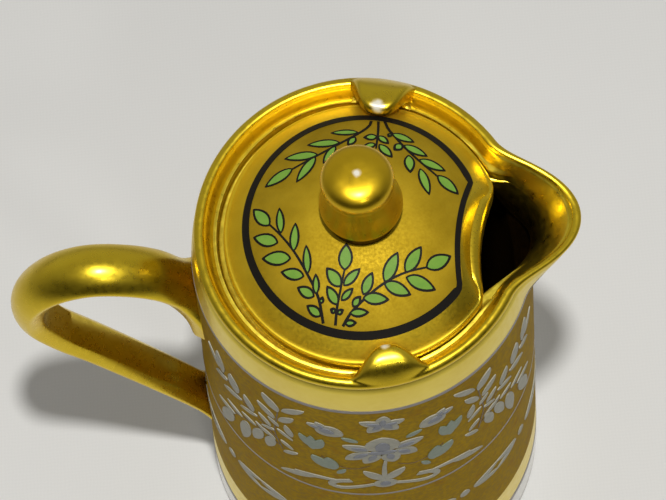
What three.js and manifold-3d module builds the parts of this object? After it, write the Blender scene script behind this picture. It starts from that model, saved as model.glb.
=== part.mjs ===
// Covered cream jug in gilded porcelain: millimetres, +Z up, spout towards +X, handle towards -X.
// The foot stands on z = 0, and the origin lies under the middle of the jug's length.
import * as THREE from 'three';
import { mergeVertices } from 'three/addons/utils/BufferGeometryUtils.js';
import Module from 'manifold-3d';

const wasm = await Module();
wasm.setup();

// Body
const jointGap = 0.3;          // left between pieces that touch
const jugHeight = 126;         // foot to lip
const rimRadius = 30;          // outside of the lip
const lipThickness = 2.4;      // the lip's round
const shoulderDepth = 11;      // the wall draws in to the lip from here up
const shoulderRadius = 31.3;
const footRadius = 36.8;
const footWidth = 4.4;         // flat ring that the jug stands on
const footRecess = 2.6;
const footRound = 0.9;
const wallThickness = 3;
const floorThickness = 3.6;
const floorRound = 7;

// Spout, a beak drawn out of the wall
const spoutReach = 10.3;
const spoutHalfAngle = 31;     // degrees at the lip
const spoutDepth = 24;
const spoutDrop = 1.2;         // its tip lies this much under the lip

// Seat ring inside the neck
const neckDepth = 10;          // the neck's inner wall is straight this far down
const seatDepth = 4.7;
const seatWidth = 3.1;         // flat ledge, from the cove to the ring's inner edge
const seatThickness = 1.6;
const seatEase = 0.5;          // taken off the ring's inner edge
const coveDepth = 2.8;         // hollow that falls from the lip to the seat
const coveWidth = 1.3;
const mouthHalfWidth = 14.9;   // opening in the ring, where it leaves the ring's inner edge
const mouthTaper = 32.5;       // degrees that its sides close in towards the spout

// Lid
const lidClearance = 0.8;      // around the lid, in the gallery
const lidTurn = -9;            // degrees that the lid lies turned from the spout
const lidEdgeHeight = 2.9;     // from the seat to the dome's edge
const domeRadius = 34.6;
const lidThickness = 3;
const lidSeatWidth = 2.1;
const lidSeatEase = 0.6;
const lidEdgeRound = 0.8;
const notchDepth = 3.5;        // taken out of the lid's edge for pouring
const notchRadius = 39;
const notchCornerRadius = 2;

// Knob
const knobHeight = 17.9;       // from the top of the dome
const knobNeckRadius = 5.4;
const knobNeckHeight = 1.6;
const knobBaseRadius = 7.2;
const knobWaistRadius = 5.75;
const knobTopRadius = 6;
const knobDomeHeight = 3.5;
const knobRimRound = 1;

// Lugs
const lugFrontAngle = -82;     // degrees from the spout
const lugRearAngle = 78.5;
const lugReach = 7.8;          // inwards from the lip
const lugHalfWidth = 7;
const lugThickness = 3.4;
const lugRise = 1.6;           // its tip's middle over the lip
const lugClearance = 0.5;      // over the turning lid

// Handle
const handleReach = 64.2;      // middle line's furthest point, from the jug's axis
const handleDrop = 93.4;       // middle line's lower end, under the lip
const handleLine = [           // shares of the reach and of the drop, from the upper root round
  [0.45, 0.295], [0.517, 0.241], [0.589, 0.168], [0.679, 0.127], [0.788, 0.112], [0.891, 0.141],
  [0.974, 0.212], [1, 0.302], [0.949, 0.415], [0.855, 0.533], [0.726, 0.704], [0.623, 0.847],
  [0.564, 0.934], [0.511, 1],
];
const upperArm = { width: 10.2, thickness: 6.2, flare: 1.9 };
const lowerArm = { width: 9.2, thickness: 4.5, flare: 1.4 };
const handleFaceShare = 0.68;  // width of the flat inner face, as a share of the handle's
const rootLength = 0.08;       // share of the handle's length that each root's flare takes

const domeCentre = jugHeight - seatDepth + jointGap + lidEdgeHeight
  - Math.sqrt(domeRadius ** 2 - lidRadius() ** 2);

function lidRadius() {
  return neckRadius() - jointGap - coveWidth - lidClearance;
}

function neckRadius() {
  return rimRadius - lipThickness;
}

function seatInnerRadius() {
  return neckRadius() - jointGap - coveWidth - seatWidth;
}

// Height of the dome's outer face at a distance from the axis
function domeHeight(radius, thickness = 0) {
  return domeCentre + Math.sqrt((domeRadius - thickness) ** 2 - radius ** 2);
}

// Evenly spaced numbers, both ends among them
function spaced(from, to, steps) {
  return Array.from({ length: steps + 1 }, (_, i) => THREE.MathUtils.lerp(from, to, i / steps));
}

// Solids

function toSolid(geometry) {
  const plain = geometry.clone();
  plain.deleteAttribute('normal');
  plain.deleteAttribute('uv');
  const merged = mergeVertices(plain, 1e-4);
  return new wasm.Manifold(new wasm.Mesh({
    numProp: 3,
    vertProperties: new Float32Array(merged.attributes.position.array),
    triVerts: new Uint32Array(merged.index.array),
  }));
}

function toGeometry(solid) {
  const mesh = solid.getMesh();
  const geometry = new THREE.BufferGeometry();
  geometry.setAttribute('position', new THREE.BufferAttribute(mesh.vertProperties, 3));
  geometry.setIndex(new THREE.BufferAttribute(mesh.triVerts, 1));
  geometry.computeVertexNormals();
  return geometry;
}

// Closed skin over rings of points; a ring of one point is a pole, and a wide end ring is closed flat
function skin(rings) {
  const points = rings.flat();
  const faces = [];
  let start = 0;
  for (let i = 0; i + 1 < rings.length; i++) {
    const [low, high] = [rings[i].length, rings[i + 1].length];
    const next = start + low;
    const count = Math.max(low, high);
    for (let j = 0; j < count; j++) {
      const k = (j + 1) % count;
      if (low > 1) faces.push(start + j, start + k, next + (high > 1 ? k : 0));
      if (high > 1) faces.push(start + (low > 1 ? j : 0), next + k, next + j);
    }
    start = next;
  }
  const last = rings[rings.length - 1];
  for (let j = 1; j + 1 < rings[0].length; j++) faces.push(0, j + 1, j);
  for (let j = 1; j + 1 < last.length; j++) faces.push(start, start + j, start + j + 1);

  const geometry = new THREE.BufferGeometry().setFromPoints(points);
  geometry.setIndex(faces);
  return geometry;
}

function revolve(profile, segments) {
  return new THREE.LatheGeometry(profile.map(([r, z]) => new THREE.Vector2(r, z)), segments)
    .rotateX(Math.PI / 2);
}

// Points on a round, from one angle to another in degrees
function round(centreR, centreZ, radius, from, to, steps, radiusZ = radius) {
  return Array.from({ length: steps + 1 }, (_, i) => {
    const angle = THREE.MathUtils.degToRad(from + (to - from) * i / steps);
    return [centreR + radius * Math.cos(angle), centreZ + radiusZ * Math.sin(angle)];
  });
}

// Body

// How far the beak stands out of the wall, at an angle from the spout and a depth under the lip
function beak(angle, depth) {
  const fade = 1 - Math.max(depth, 0) / spoutDepth;
  const halfAngle = THREE.MathUtils.degToRad(spoutHalfAngle) * Math.sqrt(Math.max(fade, 0));
  if (Math.abs(angle) >= halfAngle) return 0;
  return spoutReach * fade * Math.cos(Math.PI / 2 * angle / halfAngle) ** 2;
}

// Angles round the wall, close together across the spout
function wallAngles() {
  const half = THREE.MathUtils.degToRad(spoutHalfAngle) * 1.1;
  const fineSteps = 28;
  const coarseSteps = 50;
  const fine = Array.from({ length: fineSteps }, (_, i) => -half + 2 * half * i / fineSteps);
  const coarse = Array.from({ length: coarseSteps },
    (_, i) => half + (2 * Math.PI - 2 * half) * i / coarseSteps);
  return [...fine, ...coarse];
}

function outerRadius(height) {
  const shoulder = jugHeight - shoulderDepth;
  if (height <= shoulder) return THREE.MathUtils.mapLinear(height, 0, shoulder, footRadius, shoulderRadius);
  const rise = (height - shoulder) / shoulderDepth;
  const slope = (shoulderRadius - footRadius) / shoulder * shoulderDepth;
  return shoulderRadius + slope * rise + (rimRadius - shoulderRadius - slope) * rise ** 2;
}

function innerRadius(height) {
  const straight = jugHeight - neckDepth;
  const wide = straight - neckDepth / 2;
  if (height >= straight) return neckRadius();
  if (height <= wide) return outerRadius(height) - wallThickness;
  return THREE.MathUtils.mapLinear(height, wide, straight, outerRadius(wide) - wallThickness, neckRadius());
}

// Wall section from the foot over the lip to the floor, grown on every side
function wallProfile(grow) {
  const lipRound = lipThickness / 2;
  const lipHeight = jugHeight - lipRound;
  const topDepth = lipThickness * 1.25;
  const outside = spaced(spoutDepth, topDepth, 8).map((depth) => jugHeight - depth)
    .map((height) => [outerRadius(height) + grow, height]);
  const inside = [...spaced(topDepth, neckDepth, 3), ...spaced(neckDepth * 1.5, spoutDepth, 2)]
    .map((depth) => jugHeight - depth)
    .map((height) => [innerRadius(height) - grow, height]);
  const floor = footRecess + floorThickness;
  const cornerRadius = innerRadius(floor + floorRound) - grow - floorRound;
  return [
    [0, footRecess],
    [footRadius - footWidth - footRound, footRecess],
    [footRadius - footWidth, 0],
    [footRadius - footRound + grow, 0],
    [outerRadius(footRound) + grow, footRound],
    ...outside,
    ...round(rimRadius - lipRound, lipHeight, lipRound + grow, 0, 180, 6),
    ...inside,
    ...round(cornerRadius, floor + floorRound, floorRound, 0, -90, 4),
    [0, floor],
  ];
}

function wallSkin(profile) {
  const angles = wallAngles();
  return skin(profile.map(([radius, height]) => {
    if (radius === 0) return [new THREE.Vector3(0, 0, height)];
    return angles.map((angle) => {
      const reach = beak(angle, jugHeight - height);
      const drop = spoutDrop * reach / spoutReach;
      const r = radius + reach;
      return new THREE.Vector3(r * Math.cos(angle), r * Math.sin(angle), height - drop);
    });
  }));
}

// The same wall with its hollow filled, for what is joined to the outside
function filledWall(grow) {
  const profile = wallProfile(grow);
  const heights = profile.map(([, height]) => height);
  const top = heights.indexOf(Math.max(...heights));
  return wallSkin([...profile.slice(0, top + 1), [0, heights[top]]]);
}

function seatRing() {
  const outer = neckRadius() - jointGap;
  const seat = jugHeight - seatDepth;
  const section = [
    ...round(outer - coveWidth, seat + coveDepth, coveWidth, 0, -90, 5, coveDepth),
    [seatInnerRadius() + seatEase, seat],
    [seatInnerRadius(), seat - seatEase],
    [seatInnerRadius(), seat - seatThickness],
    [outer, jugHeight - neckDepth + seatEase],
  ];
  const ring = toSolid(revolve([...section, section[0]], 80));
  return toGeometry(ring.subtract(toSolid(pouringMouth())));
}

// Wedge that opens the ring towards the spout, its sides closing in along the beak
function pouringMouth() {
  const start = Math.sqrt(seatInnerRadius() ** 2 - mouthHalfWidth ** 2);
  const slope = Math.tan(THREE.MathUtils.degToRad(mouthTaper));
  const inner = start / 2;
  const halfWidth = mouthHalfWidth + (start - inner) * slope;
  const tip = inner + halfWidth / slope;
  const plan = new THREE.Shape([
    new THREE.Vector2(inner, -halfWidth),
    new THREE.Vector2(tip, 0),
    new THREE.Vector2(inner, halfWidth),
  ]);
  return new THREE.ExtrudeGeometry(plan, { depth: 2 * neckDepth, bevelEnabled: false })
    .translate(0, 0, jugHeight - 1.5 * neckDepth);
}

// Handle

// Section at a share of the handle's length: round outside, flat inside with bevelled sides
function handleSection(share, sideSteps = 9) {
  const bend = THREE.MathUtils.smoothstep(share, 0.35, 0.6);
  const fromEnd = Math.min(share, 1 - share) / rootLength;
  const rootShare = Math.max(0, 1 - fromEnd) ** 2;
  const sizes = ['width', 'thickness', 'flare']
    .map((size) => THREE.MathUtils.lerp(upperArm[size], lowerArm[size], bend));
  const [width, thickness, flare] = sizes;
  const swell = 1 + (flare - 1) * rootShare;
  const halfWidth = width / 2 * swell;
  const face = halfWidth * handleFaceShare;
  const half = thickness / 2 * swell;
  return [
    ...round(0, 0, halfWidth, 0, 180, sideSteps, half),
    [-halfWidth, -0.25 * half],
    [-face, -half],
    [face, -half],
    [halfWidth, -0.25 * half],
  ];
}

function handleGeometry() {
  const points = handleLine.map(([reach, drop]) => (
    new THREE.Vector3(-handleReach * reach, 0, jugHeight - handleDrop * drop)
  ));
  const line = new THREE.CatmullRomCurve3(points, false, 'centripetal');
  const steps = 44;
  const across = new THREE.Vector3(0, 1, 0);
  const rings = Array.from({ length: steps + 1 }, (_, i) => {
    const share = i / steps;
    const centre = line.getPointAt(share);
    const outward = new THREE.Vector3().crossVectors(across, line.getTangentAt(share));
    return handleSection(share).map(([side, out]) => centre.clone()
      .addScaledVector(across, -side).addScaledVector(outward, out));
  });
  return toGeometry(toSolid(skin(rings)).subtract(toSolid(filledWall(jointGap))));
}

// Lugs

function lugGeometry(angle) {
  const tipRadius = rimRadius - lugReach;
  const rootRadius = rimRadius - lipThickness / 2;
  const rootHeight = jugHeight - lipThickness / 2;
  const tipHeight = jugHeight + lugRise;
  const steps = 12;
  const rings = Array.from({ length: steps }, (_, i) => {
    const share = 1 - (1 - i / steps) ** 2;
    const halfWidth = lugHalfWidth * Math.acos(Math.sqrt(share)) / (Math.PI / 2);
    const half = THREE.MathUtils.lerp(lipThickness, lugThickness, share) / 2 * Math.sqrt(1 - share ** 4);
    const radius = THREE.MathUtils.lerp(rootRadius, tipRadius, share);
    const height = THREE.MathUtils.lerp(rootHeight, tipHeight, Math.sin(Math.PI / 2 * share));
    return round(0, height, halfWidth, 0, 360, 16, half).slice(1)
      .map(([side, z]) => new THREE.Vector3(radius, -side, z));
  });
  rings.push([new THREE.Vector3(tipRadius, 0, tipHeight)]);
  const tongue = skin(rings).rotateZ(THREE.MathUtils.degToRad(angle));
  const wall = toSolid(wallSkin(wallProfile(jointGap)));
  const lidRoom = new THREE.SphereGeometry(domeRadius + lugClearance, 96, 48).translate(0, 0, domeCentre);
  return toGeometry(toSolid(tongue).subtract(wall).subtract(toSolid(lidRoom)));
}

// Lid

// Points on an arc of the plan, without its last one
function arc(x, y, radius, from, to, steps) {
  const curve = new THREE.EllipseCurve(x, y, radius, radius, from, to, to < from);
  return curve.getPoints(steps).slice(0, -1);
}

// Plan of the lid: a disc with a shallow hollow towards +X and rounded corners beside it
function lidPlan() {
  const radius = lidRadius();
  const notchCentre = radius - notchDepth + notchRadius;
  const [toAxis, toNotch] = [radius - notchCornerRadius, notchRadius + notchCornerRadius];
  const cornerX = (toAxis ** 2 - toNotch ** 2 + notchCentre ** 2) / (2 * notchCentre);
  const cornerY = Math.sqrt(toAxis ** 2 - cornerX ** 2);
  const rimAngle = Math.atan2(cornerY, cornerX);
  const notchAngle = Math.atan2(cornerY, notchCentre - cornerX);
  return new THREE.Shape([
    ...arc(0, 0, radius, rimAngle, 2 * Math.PI - rimAngle, 60),
    ...arc(cornerX, -cornerY, notchCornerRadius, -rimAngle, notchAngle, 5),
    ...arc(notchCentre, 0, notchRadius, Math.PI + notchAngle, Math.PI - notchAngle, 12),
    ...arc(cornerX, cornerY, notchCornerRadius, -notchAngle, rimAngle, 5),
  ]);
}

function lidCover() {
  const radius = lidRadius();
  const seat = jugHeight - seatDepth + jointGap;
  const seatInner = radius - lidSeatWidth;
  const shoulder = radius - lidEdgeRound;
  const trim = 1;              // the plan cuts this off again
  const domeSteps = 9;
  const underSteps = 5;
  const under = spaced(0, seatInner - lidSeatEase, underSteps)
    .map((r) => [r, domeHeight(r, lidThickness)]);
  const top = spaced(0, Math.PI / 2, domeSteps).map((angle) => shoulder * Math.cos(angle))
    .map((r) => [r, domeHeight(r)]);
  top[domeSteps][0] = 0;
  const profile = [
    ...under,
    [seatInner, seat],
    [radius + trim, seat],
    [radius + trim, domeHeight(shoulder) - lidEdgeRound],
    ...round(shoulder, domeHeight(shoulder) - lidEdgeRound, lidEdgeRound, 0, 60, 2),
    ...top,
  ];
  const plan = new THREE.ExtrudeGeometry(lidPlan(), {
    depth: 3 * domeRadius, bevelEnabled: false,
  }).translate(0, 0, seat - domeRadius);
  return toGeometry(toSolid(revolve(profile, 64)).intersect(toSolid(plan)));
}

function lidKnob() {
  const foot = domeHeight(0) + jointGap;
  const sag = domeHeight(0) - domeHeight(knobNeckRadius);
  const base = foot - sag + knobNeckHeight;
  const top = domeHeight(0) + knobHeight;
  const equator = top - knobDomeHeight;
  const at = (radius, share) => new THREE.Vector2(radius, THREE.MathUtils.lerp(base, equator, share));
  const side = new THREE.SplineCurve([
    new THREE.Vector2(knobBaseRadius, base + knobRimRound),
    at(THREE.MathUtils.lerp(knobWaistRadius, knobBaseRadius, 0.4), 0.33),
    at(knobWaistRadius, 0.7),
    at(knobTopRadius, 1),
  ]).getPoints(8).map((point) => [point.x, point.y]);
  const profile = [
    [0, foot],
    [knobNeckRadius / 2, foot - sag / 4],
    [knobNeckRadius, foot - sag],
    [knobNeckRadius, base - knobRimRound / 2],
    [knobBaseRadius - knobRimRound / 2, base],
    ...side,
    ...round(0, equator, knobTopRadius, 0, 90, 6, knobDomeHeight).slice(1),
  ];
  profile[profile.length - 1][0] = 0;
  return toGeometry(toSolid(revolve(profile, 36)));
}

// Pieces

function piece(name, geometry, colour, roughness, metalness) {
  const material = new THREE.MeshStandardMaterial({ color: colour, roughness, metalness });
  const mesh = new THREE.Mesh(geometry, material);
  mesh.name = name;
  return mesh;
}

const polishedGold = [0xc9a227, 0.2, 1];

const jug = new THREE.Group();
jug.add(piece('jug_body', wallSkin(wallProfile(0)), 0x8f7230, 0.45, 0.8));
jug.add(piece('seat_ring', seatRing(), ...polishedGold));
jug.add(piece('handle', handleGeometry(), ...polishedGold));
jug.add(piece('lug_front', lugGeometry(lugFrontAngle), ...polishedGold));
jug.add(piece('lug_rear', lugGeometry(lugRearAngle), ...polishedGold));

const lid = new THREE.Group();
lid.rotation.z = THREE.MathUtils.degToRad(lidTurn);
lid.add(piece('lid_cover', lidCover(), 0xb08a35, 0.4, 0.9));
lid.add(piece('lid_knob', lidKnob(), ...polishedGold));
jug.add(lid);

const extent = new THREE.Box3().setFromObject(jug, true);
jug.position.x = -(extent.min.x + extent.max.x) / 2;

export default jug;
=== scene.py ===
# Covered cream jug in gilded porcelain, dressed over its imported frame. Lengths are in mm unless a note says metres,
# and heights are from the table.
import math

import bmesh
import bpy
from mathutils import Matrix, Vector


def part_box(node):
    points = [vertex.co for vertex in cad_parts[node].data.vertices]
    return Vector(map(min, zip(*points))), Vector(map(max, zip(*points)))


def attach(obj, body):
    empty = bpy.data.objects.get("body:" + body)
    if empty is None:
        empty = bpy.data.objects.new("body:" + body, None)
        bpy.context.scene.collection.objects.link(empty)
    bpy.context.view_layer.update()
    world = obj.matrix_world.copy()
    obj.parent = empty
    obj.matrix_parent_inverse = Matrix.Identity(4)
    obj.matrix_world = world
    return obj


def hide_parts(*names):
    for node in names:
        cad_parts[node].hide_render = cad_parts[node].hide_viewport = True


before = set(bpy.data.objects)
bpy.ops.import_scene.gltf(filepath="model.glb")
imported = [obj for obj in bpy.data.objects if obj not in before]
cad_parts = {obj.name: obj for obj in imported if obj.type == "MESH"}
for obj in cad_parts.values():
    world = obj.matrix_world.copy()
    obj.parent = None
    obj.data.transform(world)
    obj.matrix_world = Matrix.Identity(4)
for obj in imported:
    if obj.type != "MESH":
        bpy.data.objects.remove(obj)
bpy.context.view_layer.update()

mm = 0.001
knobLow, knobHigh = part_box("lid_knob")
axisX = (knobLow[0] + knobHigh[0]) / 2  # metres, the jug's own axis


def report(text):
    print("jug scene:", text)


# Small helpers

def spread(start, end, steps):  # evenly spaced numbers with both ends
    return [start + (end - start) * i / steps for i in range(steps + 1)]


def blend(start, end, share):
    return start + (end - start) * share


def ease(value):  # 0 to 1 with soft ends
    value = min(max(value, 0), 1)
    return value * value * (3 - 2 * value)


def smaller(first, second, width):  # the smaller of two, with a round of this width where they cross
    near = max(width - abs(first - second), 0) / width
    return min(first, second) - near * near * width / 4


def turned(angle):  # degrees, brought to -180 up to 180
    return (angle + 180) % 360 - 180


def arc(centreR, centreZ, radius, start, end, steps):  # degrees from outwards, up to upwards
    angles = [math.radians(angle) for angle in spread(start, end, steps)]
    return [(centreR + radius * math.cos(a), centreZ + radius * math.sin(a)) for a in angles]


def evenly(points, count):  # the same line as points at equal steps
    lengths = [0]
    for a, b in zip(points, points[1:]):
        lengths.append(lengths[-1] + math.dist(a, b))
    line = []
    spot = 0
    for goal in spread(0, lengths[-1], count - 1):
        while spot < len(points) - 2 and lengths[spot + 1] < goal:
            spot += 1
        step = lengths[spot + 1] - lengths[spot]
        share = min((goal - lengths[spot]) / step, 1) if step else 0
        line.append(tuple(blend(a, b, share) for a, b in zip(points[spot], points[spot + 1])))
    return line


def curveThrough(points, count):  # smooth line through points, at equal steps
    ends = [tuple(2 * a - b for a, b in zip(points[0], points[1]))]
    tail = [tuple(2 * a - b for a, b in zip(points[-1], points[-2]))]
    knots = [Vector(point).to_3d() for point in ends + list(points) + tail]
    fine = []
    for p0, p1, p2, p3 in zip(knots, knots[1:], knots[2:], knots[3:]):
        steps = [max((b - a).length, 1e-6) ** 0.5 for a, b in ((p0, p1), (p1, p2), (p2, p3))]
        out = (p2 - p1) + steps[1] * ((p1 - p0) / steps[0] - (p2 - p0) / (steps[0] + steps[1]))
        into = (p2 - p1) + steps[1] * ((p3 - p2) / steps[2] - (p3 - p1) / (steps[1] + steps[2]))
        for t in spread(0, 1, 12)[:-1]:
            fine.append((2 * t**3 - 3 * t**2 + 1) * p1 + (t**3 - 2 * t**2 + t) * out
                        + (3 * t**2 - 2 * t**3) * p2 + (t**3 - t**2) * into)
    fine.append(knots[-2])
    return evenly([tuple(point) for point in fine], count)


def spot(radius, angle, height):  # metres, from the jug's axis, degrees from the spout and the height
    a = math.radians(angle)
    return Vector((axisX + radius * math.cos(a) * mm, radius * math.sin(a) * mm, height * mm))


def deselectAll():
    if bpy.context.object and bpy.context.object.mode != "OBJECT":
        bpy.ops.object.mode_set(mode="OBJECT")
    bpy.ops.object.select_all(action="DESELECT")


def selectOnly(piece):
    deselectAll()
    piece.select_set(True)
    bpy.context.view_layer.objects.active = piece


def faceOutwards():  # turns every normal out, and leaves edit mode
    bpy.ops.mesh.select_all(action="SELECT")
    bpy.ops.mesh.normals_make_consistent(inside=False)
    bpy.ops.object.mode_set(mode="OBJECT")


def applyModifier(piece, kind, **settings):
    modifier = piece.modifiers.new(kind.lower(), kind)
    for name, value in settings.items():
        setattr(modifier, name, value)
    bpy.context.view_layer.objects.active = piece
    bpy.ops.object.modifier_apply(modifier=modifier.name)


def ringPiece(name, rings):  # a circle that is extruded ring by ring, each ring moved to its place
    deselectAll()
    bpy.ops.mesh.primitive_circle_add(vertices=len(rings[0]), radius=mm)
    piece = bpy.context.object
    piece.name = piece.data.name = name
    bpy.ops.object.mode_set(mode="EDIT")
    bpy.ops.mesh.select_all(action="SELECT")
    mesh = bmesh.from_edit_mesh(piece.data)
    column = mesh.verts.layers.int.new("column")
    for index, vertex in enumerate(mesh.verts):
        vertex[column] = index
    for number, ring in enumerate(rings):
        if number:
            bpy.ops.mesh.extrude_region_move()
        mesh = bmesh.from_edit_mesh(piece.data)
        column = mesh.verts.layers.int["column"]
        for vertex in mesh.verts:
            if vertex.select:
                vertex.co = ring[vertex[column]]
    bpy.ops.mesh.select_all(action="SELECT")
    bpy.ops.mesh.remove_doubles(threshold=0.002 * mm)  # closes the poles
    bpy.ops.mesh.select_all(action="DESELECT")
    bpy.ops.mesh.select_non_manifold(extend=False)  # open ends
    if any(vertex.select for vertex in bmesh.from_edit_mesh(piece.data).verts):
        bpy.ops.mesh.edge_face_add()
    faceOutwards()
    piece.data.attributes.remove(piece.data.attributes["column"])
    return piece


def smooth(piece, angle):
    selectOnly(piece)
    bpy.ops.object.shade_smooth_by_angle(angle=math.radians(angle))


def paint(piece, materials, choose=None):  # choose gives a face its material from where its centre is
    for material in materials:
        piece.data.materials.append(material)
    if choose:
        for face in piece.data.polygons:
            face.material_index = materials.index(choose(face.center))


# Materials

def linear(colour):  # sRGB hex to linear RGBA
    parts = [int(colour[i:i + 2], 16) / 255 for i in (1, 3, 5)]
    return [p / 12.92 if p <= 0.04045 else ((p + 0.055) / 1.055) ** 2.4 for p in parts] + [1]


def addNode(tree, kind, settings=None, links=None):
    node = tree.nodes.new(kind)
    for name, value in (settings or {}).items():
        if isinstance(name, int) or name in node.inputs:
            node.inputs[name].default_value = value
        else:
            setattr(node, name, value)
    for name, source in (links or {}).items():
        tree.links.new(source, node.inputs[name])
    return node


def startMaterial(name, settings):
    material = bpy.data.materials.new(name)
    material.use_nodes = True
    shader = material.node_tree.nodes["Principled BSDF"]
    for socket, value in settings.items():
        shader.inputs[socket].default_value = value
    place = addNode(material.node_tree, "ShaderNodeTexCoord").outputs["Object"]
    return material, material.node_tree, shader, place


def perMetre(size):  # pattern scale for a feature of this size in mm
    return 1 / (size * mm)


wornSpots = [  # place from the jug's foot and size of the spots that are rubbed through to the white
    ((0.1, -0.8, 153.2), 0.9),  # knob
    ((2.6, -23.5, 129.4), 1.1), ((4.9, 21.4, 130.9), 1.6),  # lugs
]


def gilding(name, gold):  # fired gold over glaze: a warm metal, thin where fingers wear it
    material, tree, shader, place = startMaterial(name, {})
    ripple, grain = (  # the grain is brush marks of about 0.2 mm, drawn as coarse as the render shows them
        addNode(tree, "ShaderNodeTexNoise", {"Scale": perMetre(gold[size]), "Detail": detail}, {"Vector": place})
        for size, detail in (("rippleSize", 3), ("grainSize", 2)))
    tone = addNode(tree, "ShaderNodeMix", {"data_type": "RGBA", 6: linear(gold["deep"]), 7: linear(gold["light"])},
                   {0: ripple.outputs["Fac"]})
    if "filmAndShade" in gold:  # brown film in random patches where no cloth reaches, and painted shade: the gold darkens to that brown deeper in the jug
        filmAndShade = gold["filmAndShade"]
        speck = addNode(tree, "ShaderNodeTexNoise", {"Scale": perMetre(filmAndShade["size"]), "Detail": 5, "Roughness": 0.62},
                        {"Vector": place})
        patch = addNode(tree, "ShaderNodeMapRange", {"From Min": filmAndShade["from"], "From Max": filmAndShade["to"],
                                                     "To Max": filmAndShade["patchMost"]}, {"Value": speck.outputs["Fac"]})
        depth = addNode(tree, "ShaderNodeSeparateXYZ", links={0: place})
        # painted shade: the gold turns browner with depth inside the jug
        deep = addNode(tree, "ShaderNodeMapRange", {"From Min": filmAndShade["shadeDepthFrom"] * mm, "From Max": filmAndShade["shadeDepthTo"] * mm,
                                                    "To Max": filmAndShade["shadeMost"]}, {"Value": depth.outputs["Z"]})
        stainAndShadeMask = addNode(tree, "ShaderNodeMath", {"operation": "MAXIMUM"}, {0: patch.outputs[0], 1: deep.outputs[0]})
        tone = addNode(tree, "ShaderNodeMix", {"data_type": "RGBA", 7: linear(filmAndShade["colour"])},
                       {0: stainAndShadeMask.outputs[0], 6: tone.outputs[2]})
    bare = None
    for (x, y, z), size in wornSpots:
        middle = (axisX + x * mm, y * mm, z * mm)
        away = addNode(tree, "ShaderNodeVectorMath", {"operation": "DISTANCE", 1: middle}, {0: place})
        frayed = addNode(tree, "ShaderNodeMath", {"operation": "MULTIPLY_ADD", 1: -size * mm},
                         {0: grain.outputs["Fac"], 2: away.outputs["Value"]})
        inside = addNode(tree, "ShaderNodeMapRange", {"From Min": -size * 0.1 * mm, "From Max": size * 0.5 * mm,
                                                      "To Min": 0.9, "To Max": 0}, {"Value": frayed.outputs[0]})
        if bare:
            inside = addNode(tree, "ShaderNodeMath", {"operation": "MAXIMUM"}, {0: bare, 1: inside.outputs[0]})
        bare = inside.outputs[0]
    shown = addNode(tree, "ShaderNodeMix", {"data_type": "RGBA", 7: linear(gold["worn"])},
                    {0: bare, 6: tone.outputs[2]})
    tree.links.new(shown.outputs[2], shader.inputs["Base Color"])
    metal = addNode(tree, "ShaderNodeMapRange", {"To Min": 1, "To Max": 0}, {"Value": bare})
    tree.links.new(metal.outputs[0], shader.inputs["Metallic"])
    rough = addNode(tree, "ShaderNodeMapRange", {"From Min": 0.3, "From Max": 0.7, "To Min": gold["roughFrom"],
                                                 "To Max": gold["roughTo"]}, {"Value": grain.outputs["Fac"]}).outputs[0]
    if "polishAt" in gold:  # smoother near this point, where it is rubbed more
        apart = addNode(tree, "ShaderNodeVectorMath", {"operation": "DISTANCE", 1: gold["polishAt"]}, {0: place})
        near, far = gold["polishReach"]
        share = addNode(tree, "ShaderNodeMapRange", {
            "From Min": near * mm, "From Max": far * mm, "To Min": gold["polishShare"], "To Max": 1},
            {"Value": apart.outputs["Value"]})
        rough = addNode(tree, "ShaderNodeMath", {"operation": "MULTIPLY"}, {0: rough, 1: share.outputs[0]}).outputs[0]
    tree.links.new(rough, shader.inputs["Roughness"])
    soft = addNode(tree, "ShaderNodeBump", {"Strength": 0.3, "Distance": 0.04 * mm}, {"Height": ripple.outputs["Fac"]})
    fine = addNode(tree, "ShaderNodeBump", {"Strength": gold["grainDepth"], "Distance": 0.012 * mm},
                   {"Height": grain.outputs["Fac"], "Normal": soft.outputs["Normal"]})
    tree.links.new(fine.outputs["Normal"], shader.inputs["Normal"])
    return material


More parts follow.
